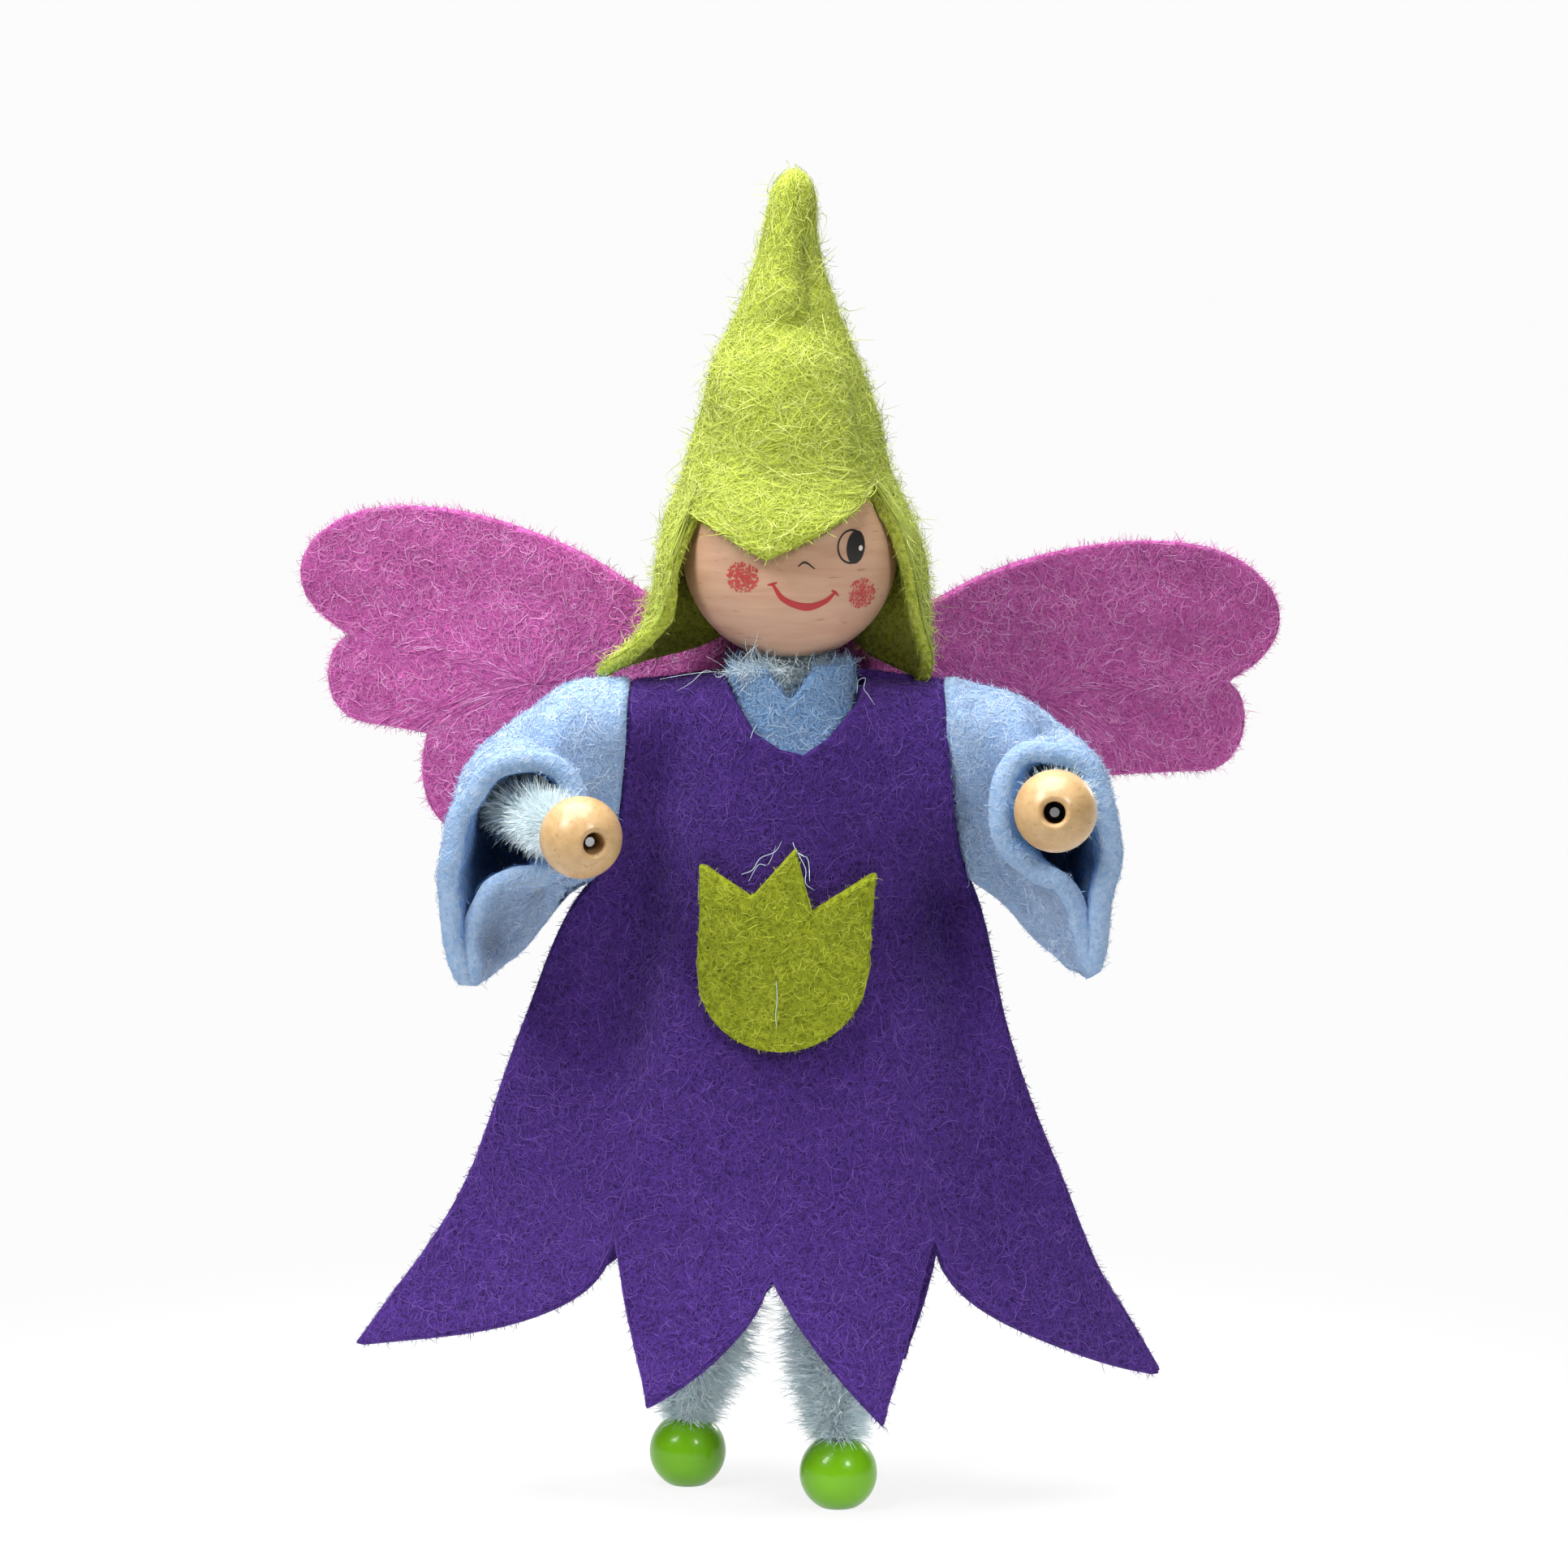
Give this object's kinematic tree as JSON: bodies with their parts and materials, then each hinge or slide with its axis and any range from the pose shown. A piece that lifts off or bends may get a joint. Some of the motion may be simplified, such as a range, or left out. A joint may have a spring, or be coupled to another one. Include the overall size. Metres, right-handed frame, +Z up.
{
  "type": "bendy felt fairy doll",
  "caption": "Small standing fairy doll with wooden bead head, hands and feet, bendable chenille limbs on wire, and felt hat, dress, blouse and wings.",
  "frame": {"origin": "on the floor below the trunk, at the middle of the doll's footprint box", "axes": "+Z up through the head; the doll faces -Y; +X is the doll's own left"},
  "size_m": [0.1043, 0.054, 0.1368],
  "materials": {
    "purple_felt": "matte",
    "blue_felt": "matte",
    "lime_felt": "matte",
    "tulip_felt": "matte",
    "pink_felt": "matte",
    "pale_pile": "matte",
    "wire_steel": "satin",
    "head_wood": "satin",
    "hand_wood": "satin",
    "green_lacquer": "gloss"
  },
  "bodies": {
    "torso": {"torso_stem": "pale_pile", "right_torso_wire": "wire_steel", "left_torso_wire": "wire_steel", "shoulder_stem": "pale_pile", "shoulder_wire": "wire_steel", "blouse": "blue_felt", "dress_front": "purple_felt", "dress_back": "purple_felt", "tulip_patch": "tulip_felt", "wing_bridge": "pink_felt"},
    "neck": {"neck_stem": "pale_pile", "neck_wire": "wire_steel"},
    "head": {"head_bead": "head_wood", "hat": "lime_felt"},
    "right_arm": {"right_upper_arm_stem": "pale_pile", "right_upper_arm_wire": "wire_steel", "right_sleeve": "blue_felt"},
    "right_forearm": {"right_forearm_stem": "pale_pile", "right_forearm_wire": "wire_steel", "right_hand_bead": "hand_wood"},
    "left_arm": {"left_upper_arm_stem": "pale_pile", "left_upper_arm_wire": "wire_steel", "left_sleeve": "blue_felt"},
    "left_forearm": {"left_forearm_stem": "pale_pile", "left_forearm_wire": "wire_steel", "left_hand_bead": "hand_wood"},
    "right_thigh": {"right_thigh_stem": "pale_pile", "right_thigh_wire": "wire_steel"},
    "right_shin": {"right_shin_stem": "pale_pile", "right_shin_wire": "wire_steel", "right_foot_bead": "green_lacquer"},
    "left_thigh": {"left_thigh_stem": "pale_pile", "left_thigh_wire": "wire_steel"},
    "left_shin": {"left_shin_stem": "pale_pile", "left_shin_wire": "wire_steel", "left_foot_bead": "green_lacquer"},
    "right_wing": {"right_wing": "pink_felt"},
    "left_wing": {"left_wing": "pink_felt"}
  },
  "joints": [
    {"name": "neck_nod", "type": "hinge", "parent": "torso", "child": "neck", "pos_m": [0.0006, 0, 0.0831], "axis": [1, 0, 0], "range_deg": [-4, 12]},
    {"name": "head_turn", "type": "hinge", "parent": "neck", "child": "head", "pos_m": [0.0006, 0, 0.0981], "axis": [0, 0, 1], "range_deg": [-10, 20]},
    {"name": "right_shoulder_swing", "type": "hinge", "parent": "torso", "child": "right_arm", "pos_m": [-0.017, 0, 0.0799], "axis": [-1, 0, 0], "range_deg": [-15, 65]},
    {"name": "right_elbow_turn", "type": "hinge", "parent": "right_arm", "child": "right_forearm", "pos_m": [-0.0285, -0.003, 0.0729], "axis": [0, 0, 1], "range_deg": [-18, 3]},
    {"name": "left_shoulder_swing", "type": "hinge", "parent": "torso", "child": "left_arm", "pos_m": [0.017, 0, 0.0799], "axis": [-1, 0, 0], "range_deg": [-15, 65]},
    {"name": "left_elbow_turn", "type": "hinge", "parent": "left_arm", "child": "left_forearm", "pos_m": [0.0285, -0.003, 0.0729], "axis": [0, 0, -1], "range_deg": [0, 20]},
    {"name": "right_hip_swing", "type": "hinge", "parent": "torso", "child": "right_thigh", "pos_m": [-0.0042, 0, 0.041], "axis": [-1, 0, 0], "range_deg": [-8, 20]},
    {"name": "right_knee_bend", "type": "hinge", "parent": "right_thigh", "child": "right_shin", "pos_m": [-0.00745, 0.00275, 0.02243], "axis": [1, 0, 0], "range_deg": [-5, 18]},
    {"name": "left_hip_swing", "type": "hinge", "parent": "torso", "child": "left_thigh", "pos_m": [0.0042, 0, 0.041], "axis": [-1, 0, 0], "range_deg": [-20, 10]},
    {"name": "left_knee_bend", "type": "hinge", "parent": "left_thigh", "child": "left_shin", "pos_m": [0.00497, -0.00275, 0.02243], "axis": [1, 0, 0], "range_deg": [-5, 35]},
    {"name": "right_wing_flap", "type": "hinge", "parent": "torso", "child": "right_wing", "pos_m": [-0.005, 0.0087, 0.08], "axis": [0, 0, -1], "range_deg": [-2, 30], "stiffness_Nm_per_rad": 0.002},
    {"name": "left_wing_flap", "type": "hinge", "parent": "torso", "child": "left_wing", "pos_m": [0.005, 0.0087, 0.08], "axis": [0, 0, 1], "range_deg": [-2, 30], "stiffness_Nm_per_rad": 0.002}
  ]
}
